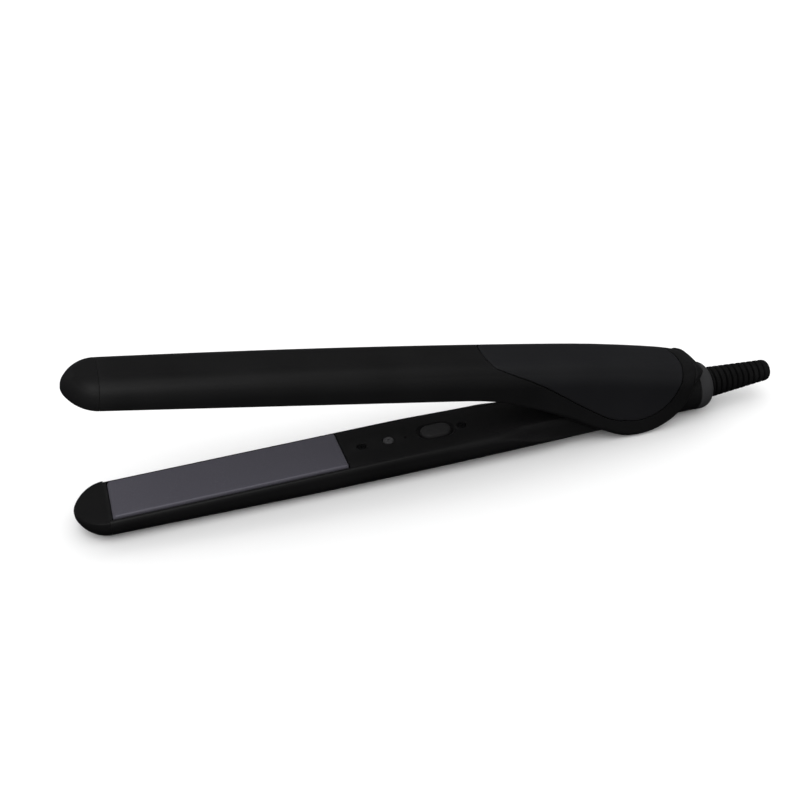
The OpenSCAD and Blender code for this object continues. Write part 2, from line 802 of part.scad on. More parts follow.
module upper_wires() {
    color([0.15, 0.15, 0.55]) stand() opened() {
        sweep([[-158, 8.8, 6.0], [-151, 8.8, 6.0], [-146, 7.4, 6.4], [-141.2, 6.5, 6.4]], 0.6, 8);
        sweep([[-131.8, 6.5, 6.4], [-100, 6.5, 7], [-60, 5, 9], [-24, 5, 11]], 0.6, 8);
        sweep([[-158, -8.8, 6.0], [-151, -8.8, 6.0], [-142, -6.8, 6.6], [-100, -6.5, 7],
               [-60, -5, 9], [-24, -5, 11]], 0.6, 8);
    }
}

// ---------------------------------------------------------------- nodes

lower_housing();
lower_tip();
lower_plate();
lower_heater();
lower_heater_clip();
lower_plate_holder();
lower_cushions();
lower_holder_screws();
inner_cover();
inner_cover_screws();
power_button();
indicator_lens();
circuit_board();
button_switch();
indicator_led();
lower_wires();
hinge_pin();
hinge_spring();
rear_collar();
brush_contacts();
swivel_core();
slip_rings();
strain_relief_boot();
upper_housing();
hinge_panel();
upper_tip();
upper_plate();
upper_heater();
upper_heater_clip();
upper_plate_holder();
upper_cushions();
upper_holder_screws();
upper_inner_cover();
upper_cover_screws();
thermal_fuse();
upper_wires();
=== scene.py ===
import json
import math
import bmesh
import bpy
import numpy as np
from mathutils import Matrix, Vector


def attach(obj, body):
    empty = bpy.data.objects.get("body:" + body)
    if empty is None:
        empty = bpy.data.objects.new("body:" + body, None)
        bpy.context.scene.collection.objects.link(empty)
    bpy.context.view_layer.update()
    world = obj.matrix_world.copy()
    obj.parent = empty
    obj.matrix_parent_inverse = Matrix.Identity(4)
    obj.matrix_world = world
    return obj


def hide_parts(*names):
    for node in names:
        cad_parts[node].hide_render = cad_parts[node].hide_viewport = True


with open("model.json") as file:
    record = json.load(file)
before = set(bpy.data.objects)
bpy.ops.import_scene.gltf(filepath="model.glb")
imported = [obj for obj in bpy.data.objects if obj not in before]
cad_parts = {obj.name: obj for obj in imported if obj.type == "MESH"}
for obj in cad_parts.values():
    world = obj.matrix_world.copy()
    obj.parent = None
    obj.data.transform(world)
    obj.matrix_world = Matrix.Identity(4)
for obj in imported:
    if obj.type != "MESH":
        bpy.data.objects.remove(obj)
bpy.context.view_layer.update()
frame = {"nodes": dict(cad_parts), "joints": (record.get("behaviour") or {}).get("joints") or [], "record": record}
joints = {j["name"]: j for j in frame["joints"]}

# ------------------------------------------------------------------ the two arms' frames
# Arm frame in mm: pin along Y at x = 0, plates meet at z = 0, arms towards -X, cord end +X.
MM = 0.001
PIN_Z = 1.0
axis_x = Vector(joints["cord_turn"]["axis"])
axis_z = -Vector(joints["button_press"]["axis"])
axis_up = Vector(joints["upper_plate_press"]["axis"])
turn = Matrix((axis_x, Vector((0, 1, 0)), axis_z)).transposed().to_4x4()
LOWER = (Matrix.Translation(Vector(joints["arm_close"]["pos_m"])) @ turn
         @ Matrix.Scale(MM, 4) @ Matrix.Translation((0, 0, -PIN_Z)))
UPPER = (LOWER @ Matrix.Translation((0, 0, PIN_Z))
         @ Matrix.Rotation(axis_z.angle(axis_up), 4, "Y") @ Matrix.Translation((0, 0, -PIN_Z)))
# The same frames with z growing outwards from the plates' plane
LOWER_OUT = LOWER @ Matrix.Diagonal((1, 1, -1, 1))

# Main sizes in mm
HALF = 15.0
WALL = 1.8
SHOULDER = 9.0
RIM = 1.2
PLATE_X1 = -147.5
PLATE_X0 = PLATE_X1 - 99.0
TIP_JOINT = PLATE_X0 - 1.5
TIP_REACH = 13.5
CROWN_X, CROWN_Z = -48, 16
LOBE_X, LOBE_Z, LOBE_R, PANEL_R = -12.4, 8.2, 28.4, 19.3
PANEL_X0, PANEL_X1 = -87.3, 9.6
SEAM, RECESS = 0.42, 1.15
JOINT_SQUEEZE = 0.14
TAIL_X = 20.8
NECK_HALF = 12.1
TUBE_Z, TUBE_R = -7.4, 11.0
TUBE_X0, TUBE_X1 = -45.0, 21.5
COLLAR_R, COLLAR_L = 11.3, 8.2
BOOT_X, BOOT_L = TUBE_X1 + COLLAR_L + 0.3, 32.0
BUTTON_X, BUTTON_L, BUTTON_W = -104.5, 13.5, 8.0
PLATE_HALF, PLATE_BEVEL = 12.5, 0.75
INNER_R = 7.2
BOOT_R0, BOOT_R1 = 7.3, 4.9
LENS_X, PINHOLE_X = -126.2, -118.6
COVER_SCREWS, COVER_GAP = (-138.3, -92.2), 0.1

SHARP = 32.0  # degrees; edges sharper than this are not smoothed
CUT_SHARP = 28.0


def ease(x, a, b):
    """0 at a, 1 at b, smooth between."""
    t = min(1.0, max(0.0, (x - a) / (b - a)))
    return t * t * (3 - 2 * t)


def even(a, b, n):
    return [a + (b - a) * i / (n - 1) for i in range(n)]


def lookup(x, table):
    return float(np.interp(x, *zip(*table)))


# ------------------------------------------------------------------ mesh helpers
def add_object(name, data):
    obj = bpy.data.objects.new(name, data)
    bpy.context.scene.collection.objects.link(obj)
    return obj


def build(name, verts, faces, matrix, sharp=SHARP):
    mesh = bpy.data.meshes.new(name)
    bm = bmesh.new()
    made = [bm.verts.new(matrix @ Vector(v)) for v in verts]
    for f in faces:
        if len(set(f)) > 2:
            try:
                bm.faces.new([made[i] for i in f])
            except ValueError:
                pass
    bmesh.ops.remove_doubles(bm, verts=bm.verts, dist=2e-6)
    bmesh.ops.recalc_face_normals(bm, faces=bm.faces)
    for f in bm.faces:
        f.smooth = True
    bm.to_mesh(mesh)
    bm.free()
    mesh.set_sharp_from_angle(angle=math.radians(sharp))
    return add_object(name, mesh)


def loft(name, rings, matrix, channel=False, sharp=SHARP):
    """Closed rings joined in order. A channel's rings are C-shaped, so its ends are closed in strips."""
    n, m = len(rings), len(rings[0])
    verts = [p for ring in rings for p in ring]
    faces = [[i * m + k, i * m + (k + 1) % m, (i + 1) * m + (k + 1) % m, (i + 1) * m + k]
             for i in range(n - 1) for k in range(m)]
    for base in (0, (n - 1) * m):
        if channel:
            faces += [[base + k, base + k + 1, base + m - 2 - k, base + m - 1 - k] for k in range(m // 2 - 1)]
        else:
            faces.append(list(range(base, base + m)))
    return build(name, verts, faces, matrix, sharp)


def turned(name, profile, matrix, steps=72, along="X", sharp=SHARP):
    """Shape turned about an axis; profile is a list of (place along the axis, radius)."""
    rings = []
    for a, r in profile:
        ring = []
        for k in range(steps):
            t = 2 * math.pi * k / steps
            c, s = r * math.cos(t), r * math.sin(t)
            ring.append((a, c, s) if along == "X" else (c, s, a))
        rings.append(ring)
    return loft(name, rings, matrix, sharp=sharp)


def merge(name, parts):
    bm = bmesh.new()
    for p in parts:
        bm.from_mesh(p.data)
    mesh = bpy.data.meshes.new(name)
    bm.to_mesh(mesh)
    bm.free()
    for p in parts:
        bpy.data.objects.remove(p)
    mesh.set_sharp_from_angle(angle=math.radians(SHARP))
    return add_object(name, mesh)


def cut(obj, cutters):
    for c in cutters:
        mod = obj.modifiers.new("cut", "BOOLEAN")
        mod.operation = "DIFFERENCE"
        mod.solver = "EXACT"
        mod.object = c
    depsgraph = bpy.context.evaluated_depsgraph_get()
    mesh = bpy.data.meshes.new_from_object(obj.evaluated_get(depsgraph))
    obj.modifiers.clear()
    obj.data = mesh
    for c in cutters:
        bpy.data.objects.remove(c)
    bm = bmesh.new()
    bm.from_mesh(mesh)
    for f in bm.faces:
        f.smooth = True
    bm.to_mesh(mesh)
    bm.free()
    mesh.set_sharp_from_angle(angle=math.radians(CUT_SHARP))
    return obj


def corner(x, y, z, r, degrees, up=1):
    """Points round a corner of radius r from its side to its top or, with up = -1, to its bottom."""
    turns = [math.radians(a) for a in degrees]
    return [(x, y - r + r * math.cos(t), z + up * (r * math.sin(t) - r)) for t in turns]


def mirrored(half):
    """A full ring from the half with y >= 0, whose first and last points lie on y = 0."""
    return half + [(x, -y, z) for x, y, z in reversed(half[1:-1])]


# ------------------------------------------------------------------ outlines
def lower_depth(x):
    """The line of the floor in front, where the iron stands on it, and a shallow curve further back."""
    stand_line = 18.088 + 0.02514 * x
    return min(14.5 - (x + 90) ** 2 / 10400, stand_line)


END_DEPTH = lower_depth(TIP_JOINT)


def lower_half(x):
    return HALF - (HALF - NECK_HALF) * ease(x, -104, -76)


def upper_top(x):
    if x < CROWN_X:
        return CROWN_Z - (CROWN_Z - END_DEPTH) * ((x - CROWN_X) / (TIP_JOINT - CROWN_X)) ** 2
    t = min(1.0, max(0.0, (x - 13.4) / (TAIL_X + 1.0 - 13.4)))
    return CROWN_Z - (x - CROWN_X) ** 2 / 1360 - 2.6 * (1 - math.sqrt(1 - t * t))


def upper_half(x):
    t = min(1.0, max(0.0, (x - 3) / (TAIL_X + 0.4 - 3)))
    return HALF - 4.6 * (1 - math.sqrt(1 - t * t))


# The cheek's front edge as (x, z). Six of the ten points go back to places read off the photograph,
# which a scratch program turned into mm; they were then rounded and moved by hand, by up to 0.9 mm.
SWEEP = ((-112, 1.2), (-96, 1.2), (-88, 0.9), (-81, 0.2), (-71, -1.9), (-61, -4.7),
         (-49.5, -8.7), (-40, -12.4), (-31, -15.9), (-26, -17.3))


def upper_low(x):
    """Lower edge: the sweep down to the hinge, the round cheek, then the hood's edge."""
    if x < SWEEP[-1][0]:
        return lookup(x, SWEEP)
    hood_edge = 5.6 + 1.6 * ease(x, 15, TAIL_X)
    d = LOBE_R ** 2 - (x - LOBE_X) ** 2
    return min(LOBE_Z - math.sqrt(d), hood_edge) if d > 0 else hood_edge


def smooth_low(x):
    return sum(upper_low(x + k) for k in (-2, -1, 0, 1, 2)) / 5 if x < -18 else upper_low(x)


# The panel's seam as (x, way round the outside), front part and rear part. The front part is close to
# what a scratch program printed for places read off the photograph; the rear part follows it loosely.
PANEL_SEAM = ((-87.3, 3.0), (-87.1, 5.2), (-86.6, 7.4), (-85.7, 9.3), (-84.3, 10.8), (-80, 12.8),
              (-75, 14.7), (-68.5, 16.9), (-61, 20.0), (-52.5, 24.2), (-43.5, 28.8), (-33.5, 33.4),
              (-26, 36.5), (-18.5, 37.9))
PANEL_REAR = ((5.0, 22.9), (5.5, 20.9), (6.2, 18.3), (6.9, 15.9), (7.4, 12.6), (7.9, 9.6), (8.5, 6.4),
              (9.0, 3.9), (9.4, 1.8), (PANEL_X1, 0.0))


def panel_edge(x):
    """How far the panel reaches round the outside from the top centre line."""
    if x <= PANEL_SEAM[-1][0]:
        return lookup(x, PANEL_SEAM)
    if x >= PANEL_REAR[0][0]:
        return lookup(x, PANEL_REAR)
    z = LOBE_Z - 0.2 - math.sqrt(max(0.0, PANEL_R ** 2 - (x - LOBE_X + 1) ** 2))
    top = upper_top(x)
    drop = top - SHOULDER - z
    if drop >= 0:
        return HALF - SHOULDER + SHOULDER * math.pi / 2 + drop
    return HALF - SHOULDER + SHOULDER * math.acos(min(1.0, (z - top + SHOULDER) / SHOULDER))


def outside(s, half, top, r):
    """Point and normal at arc length s from the centre of the back."""
    flat = half - r
    if s < flat:
        return s, top, 0.0, 1.0
    a = (s - flat) / r
    if a < math.pi / 2:
        return flat + r * math.sin(a), top - r + r * math.cos(a), math.sin(a), math.cos(a)
    return half, top - r - (s - flat - r * math.pi / 2), 1.0, 0.0


# ------------------------------------------------------------------ upper housing
def upper_ring(x, recess, seam, squeeze=0.0):
    """Shell section. The outside is sunk by recess from the centre of the back to the seam."""
    half, top, low = upper_half(x) - squeeze, upper_top(x) - squeeze, smooth_low(x)
    r = min(SHOULDER, half - 1, top - low - 0.8)
    r_low = min(0.5 + 2.0 * ease(x, -72, -40) - 1.5 * ease(x, 12, 18), (top - low) * 0.4)
    s_end = half - r + r * math.pi / 2 + max(0.0, top - r - low - r_low)
    out = []
    first = min(seam, s_end - 0.5)
    for s in even(0, first, 16):
        y, z, ny, nz = outside(s, half, top, r)
        out.append((x, y - ny * recess, z - nz * recess))
    for s in even(first, s_end, 18):
        y, z, ny, nz = outside(s, half, top, r)
        out.append((x, y, z))
    out += corner(x, half, low, r_low, (18, 36, 54, 72, 90), -1)
    blend = ease(x, -102, -98)
    inner = min(HALF - WALL - (HALF - WALL - 12.4) * blend, half - 1.5)
    roof = max(top - WALL - 1.3 * blend * (1 - ease(x, 10, 18)), low + 0.8)
    ri = min(INNER_R - 1.3 * blend, inner - 1, max(0.4, roof - low - 1.2))
    out += [(x, inner + 0.25, low), (x, inner, low + 0.25), (x, inner, (low + roof - ri) / 2)]
    out += corner(x, inner, roof, ri, (0, 22.5, 45, 67.5, 90)) + [(x, 0, roof)]
    # The hood's end leans forward and is rounded in plan
    lean, round_end = 0.4 * ease(x, 12, TAIL_X), 1.6 * ease(x, 12, TAIL_X)
    return mirrored([(x - lean * min(top - z, 6.0) - round_end * (y / half) ** 3, y, z)
                     for _, y, z in out])


# Sections are closer together where the panel's seam bends
xs_front = even(TIP_JOINT + 0.08, -112, 24) + even(-109, PANEL_X0 - SEAM - 0.2, 6)
xs_panel = (even(PANEL_X0 - SEAM, -83.5, 14) + even(-82.5, -60, 18) + even(-58.5, -2, 42)
            + even(-0.8, 4.4, 8) + even(4.7, 7.6, 14) + even(7.9, PANEL_X1 + SEAM, 10))
xs_rear = even(PANEL_X1 + SEAM + 0.2, 15.0, 6) + even(15.3, 16.6, 8) + even(16.9, 18.4, 4) + [
    TAIL_X - 2.2 * (1 - math.sin(math.radians(a))) ** 1.4 for a in (12, 28, 44, 60, 76, 90)]


def seam_edge(x):
    near = min(PANEL_X1, max(PANEL_X0, x))
    slack = [panel_edge(min(PANEL_X1, max(PANEL_X0, near + d))) for d in (-SEAM, 0, SEAM)]
    return max(slack) + SEAM * 0.8


front_seam, rear_seam = seam_edge(PANEL_X0), seam_edge(PANEL_X1)
rings = [upper_ring(TIP_JOINT + 0.02, 0, front_seam, JOINT_SQUEEZE)]
rings += [upper_ring(x, 0, front_seam) for x in xs_front + xs_panel[:1]]
rings += [upper_ring(x, RECESS, seam_edge(x)) for x in xs_panel]
rings += [upper_ring(x, 0, rear_seam) for x in xs_panel[-1:] + xs_rear]
rings += [upper_ring(TAIL_X + 0.2, 0, rear_seam, 0.45)]
upper_housing = loft("upper_shell", rings, UPPER, channel=True)


# ------------------------------------------------------------------ hinge panel
PANEL_BACK = RECESS - 0.05


def panel_ring(x, down):
    """Panel section, its face sunk by down below the shell's outside."""
    half, top = upper_half(x), upper_top(x)
    e = max(0.4, panel_edge(x))
    r = min(SHOULDER, half - 1)
    out = []
    samples = [(s, down) for s in even(0, max(0.1, e - 0.5), 24)]
    samples += [(e - 0.3, down + 0.02), (e - 0.14, down + 0.08), (e - 0.03, down + 0.22),
                (e, max(down, 0.45)), (e, PANEL_BACK)]
    samples += [(s, PANEL_BACK) for s in even(e - 0.3, 0, 10)]
    for s, d in samples:
        y, z, ny, nz = outside(max(0.0, s), half, top, r)
        out.append((x, y - ny * d, z - nz * d))
    return mirrored(out)


xs = (even(PANEL_X0 + 0.12, -83.5, 14) + even(-82.5, -60, 18) + even(-58.5, -2, 44)
      + even(-0.8, 4.4, 8) + even(4.7, 7.6, 14) + even(7.9, PANEL_X1 - 0.25, 10))
rings = [panel_ring(x, down) for x, down in (
    (PANEL_X0, RECESS - 0.06), (PANEL_X0, 0.4), (PANEL_X0 + 0.04, 0.12), *[(x, 0.0) for x in xs],
    (PANEL_X1 - 0.1, 0.1), (PANEL_X1, 0.4), (PANEL_X1, RECESS - 0.06))]
hinge_panel = loft("saddle_panel", rings, UPPER)


# ------------------------------------------------------------------ lower housing
def lower_ring(x, squeeze=0.0):
    """The shoulder band widens towards the hinge, where the cheeks close over the narrow tail."""
    half, depth = HALF - squeeze, lower_depth(x) - squeeze
    r = SHOULDER - 0.6 * squeeze
    grow = ease(x, -122, -76)
    band_y, band_z = 1.42 + 3.0 * grow, RIM + 1.9 + 0.9 * grow
    step = min(depth - 0.9, max(band_z, 0.4 - upper_low(x) + 2.6 * ease(x, -84, -64)))
    limit = half - (half - NECK_HALF) * ease(x, -80, -66)
    out = []
    s_end = half - r + r * math.pi / 2 + max(0.0, depth - r - band_z)
    for s in even(0, s_end, 34):
        y, z, ny, nz = outside(s, half, depth, r)
        out.append((x, min(y, limit + (half - limit) * ease(z, step - 1.2, step + 0.6)), z))
    inner = min(half - WALL, 10.4 + (half - WALL - 10.4) * (1 - ease(x, -108, -76)))
    brim = half - band_y
    for f, g in ((0.04, 0.80), (0.14, 0.56), (0.32, 0.31), (0.56, 0.13), (0.82, 0.03), (1.0, 0.0)):
        out.append((x, limit + (brim - limit) * f, RIM + (min(band_z, step) - RIM) * g))
    out.append((x, min(inner + 0.12, brim - 0.02), RIM))
    out.append((x, min(inner, brim - 0.1), RIM + 0.15))
    inner = min(inner, brim - 0.1)
    base = depth - WALL
    out.append((x, inner, (RIM + base - INNER_R) / 2))
    out += corner(x, inner, base, INNER_R, (0, 22.5, 45, 67.5, 90)) + [(x, 0, base)]
    return mirrored(out)


xs = even(TIP_JOINT + 0.08, -124, 22) + even(-120, -60, 31) + even(-58, -20, 20)
rings = [lower_ring(TIP_JOINT + 0.02, JOINT_SQUEEZE)] + [lower_ring(x) for x in xs]
arm_channel = loft("arm_channel", rings, LOWER_OUT, channel=True)

# How far below the plates' plane the tube's underside is cut flat
LEAD = ((-46, 14.2), (-42, 15.0), (-38, 15.9), (-28, 16.8), (-15, 17.4), (0, 17.8), (26, 18.45))


def tube_ring(x, r):
    """A circle, cut flat below at LEAD's depth and above where the channel leads into the tube."""
    low = -lookup(x, LEAD)
    high = -RIM - 0.3 + 5.2 * ease(x, TUBE_X0, -20)
    ring = []
    for k in range(96):
        t = 2 * math.pi * k / 96
        ring.append((x, r * math.cos(t), min(high, max(low, TUBE_Z + r * math.sin(t)))))
    return ring


rings = [tube_ring(TUBE_X0, TUBE_R - 1.2), tube_ring(TUBE_X0 + 0.35, TUBE_R - 0.45),
         tube_ring(TUBE_X0 + 1.2, TUBE_R)]
rings += [tube_ring(x, TUBE_R) for x in even(TUBE_X0 + 3, TUBE_X1 - 0.5, 30)]
rings += [tube_ring(TUBE_X1 - 0.2, TUBE_R - 0.05), tube_ring(TUBE_X1, TUBE_R - 0.25)]
arm_tube = loft("arm_tube", rings, LOWER)
lug_profile = [(-NECK_HALF, 3.0), (-NECK_HALF, 4.6), (0.4 - NECK_HALF, 5.0),
               (NECK_HALF - 0.4, 5.0), (NECK_HALF, 4.6), (NECK_HALF, 3.0)]
pin_frame = LOWER @ Matrix.Translation((0, 0, PIN_Z)) @ Matrix.Rotation(math.pi / 2, 4, "Z")
arm_lug = turned("arm_lug", lug_profile, pin_frame)
lower_housing = merge("lower_shell", [arm_channel, arm_tube, arm_lug])


# ------------------------------------------------------------------ tip caps
NOSE_HALF, NOSE_Z = 0.2, 4.3


def tip_ring(x, shrink=0.0):
    """Section of a rounded nose; the exponents set its plan, its back and its lower edge."""
    t = min(0.9996, max(0.0, (TIP_JOINT - x) / TIP_REACH))
    fall = (1 - t ** 1.9) ** 0.5
    half = (HALF - NOSE_HALF) * fall ** 1.22 + NOSE_HALF - shrink
    top = NOSE_Z + (END_DEPTH - NOSE_Z) * fall ** 0.9 - shrink
    low = RIM + 1.9 * (1 - fall) ** 1.3 + shrink
    r = min(SHOULDER, half * 0.86, (top - low) * 0.85)
    rl = min(0.5 + 1.4 * (1 - fall), (top - low) * 0.15, half * 0.14)
    out = []
    s_end = half - r + r * math.pi / 2 + max(0.0, top - r - low - rl)
    for s in even(0, s_end, 24):
        y, z, ny, nz = outside(s, half, top, r)
        out.append((x, y, z))
    out += corner(x, half, low, rl, (15, 30, 45, 60, 75, 90), -1)
    out += [(x, y, low) for y in even(half - rl, 0, 8)[1:]]
    return mirrored(out)


def tip_cap(name, matrix):
    """The nose and a lip that closes the gap between it and the plate."""
    start = TIP_JOINT - 0.1
    rings = [tip_ring(TIP_JOINT - 0.04, 0.9), tip_ring(TIP_JOINT - 0.04, JOINT_SQUEEZE),
             tip_ring(start, 0.02)]
    for i in range(1, 34):
        a = math.radians(90 * i / 33.3)
        rings.append(tip_ring(start - (TIP_REACH - 0.1) * math.sin(a)))
    nose = loft("nose", rings, matrix, sharp=50)
    side, x0, x1, z = HALF - WALL - 0.15, TIP_JOINT - 0.6, PLATE_X0 - 0.3, RIM + 0.02
    lip = [[(x0, y, z), (x1 - 0.1, y, z), (x1, y, z + 0.1), (x1, y, z + 1.6), (x0, y, z + 1.6)]
           for y in (-side, side)]
    return merge(name, [nose, loft("lip", lip, matrix)])


lower_tip = tip_cap("lower_nose", LOWER_OUT)
upper_tip = tip_cap("upper_nose", UPPER)


# ------------------------------------------------------------------ plates
def plate(name, matrix):
    face, back, bevel = 0.1, 2.3, PLATE_BEVEL

    def ring(x, side, high):
        """side and high are how far the outline steps in at the edges and at the face."""
        half = PLATE_HALF - side
        z0 = face + high
        pts = [(x, 0, z0), (x, half - bevel - 0.5, z0), (x, half - bevel, z0 + 0.03),
               (x, half - 0.45, z0 + 0.22), (x, half - 0.1, z0 + 0.6), (x, half, z0 + bevel + 0.2),
               (x, half, back - 0.15), (x, half - 0.15, back), (x, 0, back)]
        return mirrored(pts)

    rings = [ring(PLATE_X0, 0.5, 1.2), ring(PLATE_X0 + 0.15, 0.2, 0.8),
             ring(PLATE_X0 + 0.9, 0.03, 0.16), ring(PLATE_X0 + 1.35, 0, 0.02)]
    rings += [ring(x, 0, 0) for x in even(PLATE_X0 + 1.8, PLATE_X1 - 1.0, 30)]
    rings += [ring(PLATE_X1 - 0.45, 0.04, 0.08), ring(PLATE_X1 - 0.12, 0.15, 0.35), ring(PLATE_X1, 0.4, 0.8)]
    return loft(name, rings, matrix, sharp=50)


lower_plate = plate("lower_plate_face", LOWER_OUT)
upper_plate = plate("upper_plate_face", UPPER)


# ------------------------------------------------------------------ covers, screws, controls
def oval_ring(x, half_l, half_w, z, count=64):
    """A slot outline: two half circles joined by straight sides."""
    pts = []
    run = max(0.0, half_l - half_w)
    for k in range(count):
        t = 2 * math.pi * (k + 0.5) / count
        pts.append((x + math.copysign(run, math.cos(t)) + half_w * math.cos(t), half_w * math.sin(t), z))
    return pts


def slab(name, xs, half_at, matrix):
    """A flat cover with broken edges; half_at gives its half width along the arm."""
    z0, z1, b = RIM, RIM + WALL, 0.22

    def ring(x, inset):
        h = half_at(x) - inset
        return mirrored([(x, 0, z0 + inset), (x, h * 0.5, z0 + inset), (x, h - b, z0 + inset),
                         (x, h - 0.06, z0 + inset + 0.06), (x, h, z0 + inset + b), (x, h, z1), (x, 0, z1)])

    rings = [ring(xs[0], b), ring(xs[0] + b, 0)] + [ring(x, 0) for x in xs[1:-1]]
    rings += [ring(xs[-1] - b, 0), ring(xs[-1], b)]
    return loft(name, rings, matrix)


def screw(name, x, matrix):
    """A domed head with a cross cut into it."""
    spot = matrix @ Matrix.Translation((x, 0, RIM + 0.5))
    head = turned(name, [(0.95, 0.3), (0.95, 1.9), (0.35, 1.9), (0.16, 1.82), (0.04, 1.55), (0.0, 1.0),
                         (0.0, 0.3)], spot, 48, "Z")
    wings = []
    for a in (20, 110):
        m = spot @ Matrix.Rotation(math.radians(a), 4, "Z")
        rows = [[(-w, -h, z), (w, -h, z), (w, h, z), (-w, h, z)]
                for z, w, h in ((-0.4, 1.25, 0.27), (0.3, 1.05, 0.22), (0.62, 0.55, 0.12))]
        wings.append(loft("wing", rows, m))
    return cut(head, wings)


def screw_pockets(matrix):
    profile = [(RIM - 1, 2.75), (RIM - 0.01, 2.55), (RIM + 0.28, 2.2), (RIM + 1.4, 2.15)]
    return [turned("pocket", profile, matrix @ Matrix.Translation((x, 0, 0)), 48, "Z")
            for x in COVER_SCREWS]


xs = even(PLATE_X1 + 0.5, -106, 9) + even(-104, -47, 28)
inner_cover = slab("front_cover", xs, lambda x: lower_half(x) - WALL - COVER_GAP, LOWER_OUT)
cutters = screw_pockets(LOWER_OUT)
# The button's shallow well, and the opening that the button passes through
well = ((2.0, RIM - 0.8), (1.75, RIM - 0.01), (1.35, RIM + 0.3), (1.0, RIM + 0.62), (0.7, RIM + 0.8))
cutters.append(loft("well", [oval_ring(BUTTON_X, BUTTON_L / 2 + a + 0.5, BUTTON_W / 2 + a + 0.2, z)
                             for a, z in well], LOWER_OUT))
cutters.append(loft("way", [oval_ring(BUTTON_X, BUTTON_L / 2 + 0.28, BUTTON_W / 2 + 0.28, z)
                            for z in (0.0, 6.0)], LOWER_OUT))
lens_spot = LOWER_OUT @ Matrix.Translation((LENS_X, 0, 0))
cutters.append(turned("lens_way", [(RIM - 1, 2.9), (RIM - 0.01, 2.75), (RIM + 0.35, 2.42), (6, 2.42)],
                      lens_spot, 48, "Z"))
cutters.append(turned("pin_way", [(0, 0.75), (RIM + 0.1, 0.7), (RIM + 0.3, 0.5), (6, 0.5)],
                      LOWER_OUT @ Matrix.Translation((PINHOLE_X, 0, 0)), 24, "Z"))
inner_cover = cut(inner_cover, cutters)

# The upper cover steps in where the channel narrows
xs = even(PLATE_X1 + 0.5, -99.75, 10) + [-99.7, -99.65] + even(-98, -64, 12)
upper_cover = slab("rear_cover", xs, lambda x: HALF - WALL - COVER_GAP if x < -99.68 else 12.3, UPPER)
upper_cover = cut(upper_cover, screw_pockets(UPPER))

lower_screws = merge("cover_screws_lower", [screw("s", x, LOWER_OUT) for x in COVER_SCREWS])
upper_screws = merge("cover_screws_upper", [screw("s", x, UPPER) for x in COVER_SCREWS])

# The cap's rounded edge, as steps in from its outline at each height
steps = ((0.0, 2.8), (0.0, 1.1), (0.05, 0.82), (0.2, 0.58), (0.5, 0.4), (1.0, 0.3), (1.8, 0.3),
         (2.8, 0.36), (3.6, 0.42))
button = loft("button_cap", [oval_ring(BUTTON_X, BUTTON_L / 2 - a, BUTTON_W / 2 - a, z) for a, z in steps],
              LOWER_OUT, sharp=60)
lens = turned("lens_disc", [(3.0, 2.2), (1.15, 2.3), (0.98, 2.24), (0.9, 2.08), (0.95, 1.9), (1.0, 1.82),
                            (0.93, 1.7), (0.86, 1.2), (0.84, 0.62), (0.92, 0.5), (1.5, 0.42), (1.5, 0.02)],
              lens_spot, 64, "Z", 40)

# ------------------------------------------------------------------ collar and boot
axis_frame = LOWER @ Matrix.Translation((0, 0, TUBE_Z))
x0, x1, cr = TUBE_X1 + 0.12, TUBE_X1 + COLLAR_L, COLLAR_R
collar = turned("end_collar", [(x0, 7.0), (x0, cr - 0.45), (x0 + 0.12, cr - 0.14), (x0 + 0.45, cr),
                               (x0 + 2.4, cr - 0.02), (x0 + 3.8, cr - 0.18), (x0 + 5.0, cr - 0.6),
                               (x0 + 6.0, cr - 1.2), (x0 + 6.8, cr - 1.95), (x0 + 7.4, cr - 2.75),
                               (x0 + 7.8, cr - 3.5), (x1, cr - 4.35), (x1 - 0.15, 6.62), (x1 - 3.0, 6.6)],
                axis_frame, 96)

RIBS = 9
profile = [(BOOT_X + 4.0, 5.05), (BOOT_X + 0.02, 5.05), (BOOT_X, 6.9), (BOOT_X + 0.2, 7.25),
           (BOOT_X + 0.7, 7.3), (BOOT_X + 1.1, 7.15), (BOOT_X + 1.3, 6.4)]
rib_run = BOOT_L - 5.2
# One groove and rib: how far along, and how far below the boot's cone
RIB = ((0.02, 1.75), (0.16, 1.75), (0.21, 0.5), (0.28, 0.12), (0.38, 0.0), (0.78, 0.0),
       (0.89, 0.12), (0.95, 0.5), (0.99, 1.75))
for i in range(RIBS):
    for f, drop in RIB:
        x = BOOT_X + 1.4 + (i + f) * rib_run / RIBS
        r = BOOT_R0 + (BOOT_R1 - BOOT_R0) * (x - BOOT_X) / BOOT_L
        profile.append((x, r - drop))
end = BOOT_X + BOOT_L
profile += [(end - 3.4, 4.7), (end - 3.2, 5.05), (end - 2.8, 5.15), (end - 1.5, 5.0), (end - 0.7, 4.7),
            (end - 0.25, 4.3), (end - 0.03, 3.75), (end - 0.1, 3.4), (end - 0.5, 3.27), (end - 24, 3.25)]
boot = turned("relief_boot", profile, axis_frame, 96)


# ------------------------------------------------------------------ materials
def graded(tree, value, span, to):
    """A value mapped from one span onto another."""
    node = tree.nodes.new("ShaderNodeMapRange")
    for key, number in zip(("From Min", "From Max", "To Min", "To Max"), (*span, *to)):
        node.inputs[key].default_value = number
    tree.links.new(value, node.inputs["Value"])
    return node.outputs["Result"]


def product(tree, first, second):
    node = tree.nodes.new("ShaderNodeMath")
    node.operation = "MULTIPLY"
    tree.links.new(first, node.inputs[0])
    tree.links.new(second, node.inputs[1])
    return node.outputs[0]


def noise(tree, vector, scale, detail):
    node = tree.nodes.new("ShaderNodeTexNoise")
    node.inputs["Scale"].default_value = scale
    node.inputs["Detail"].default_value = detail
    tree.links.new(vector, node.inputs["Vector"])
    return node.outputs["Fac"]


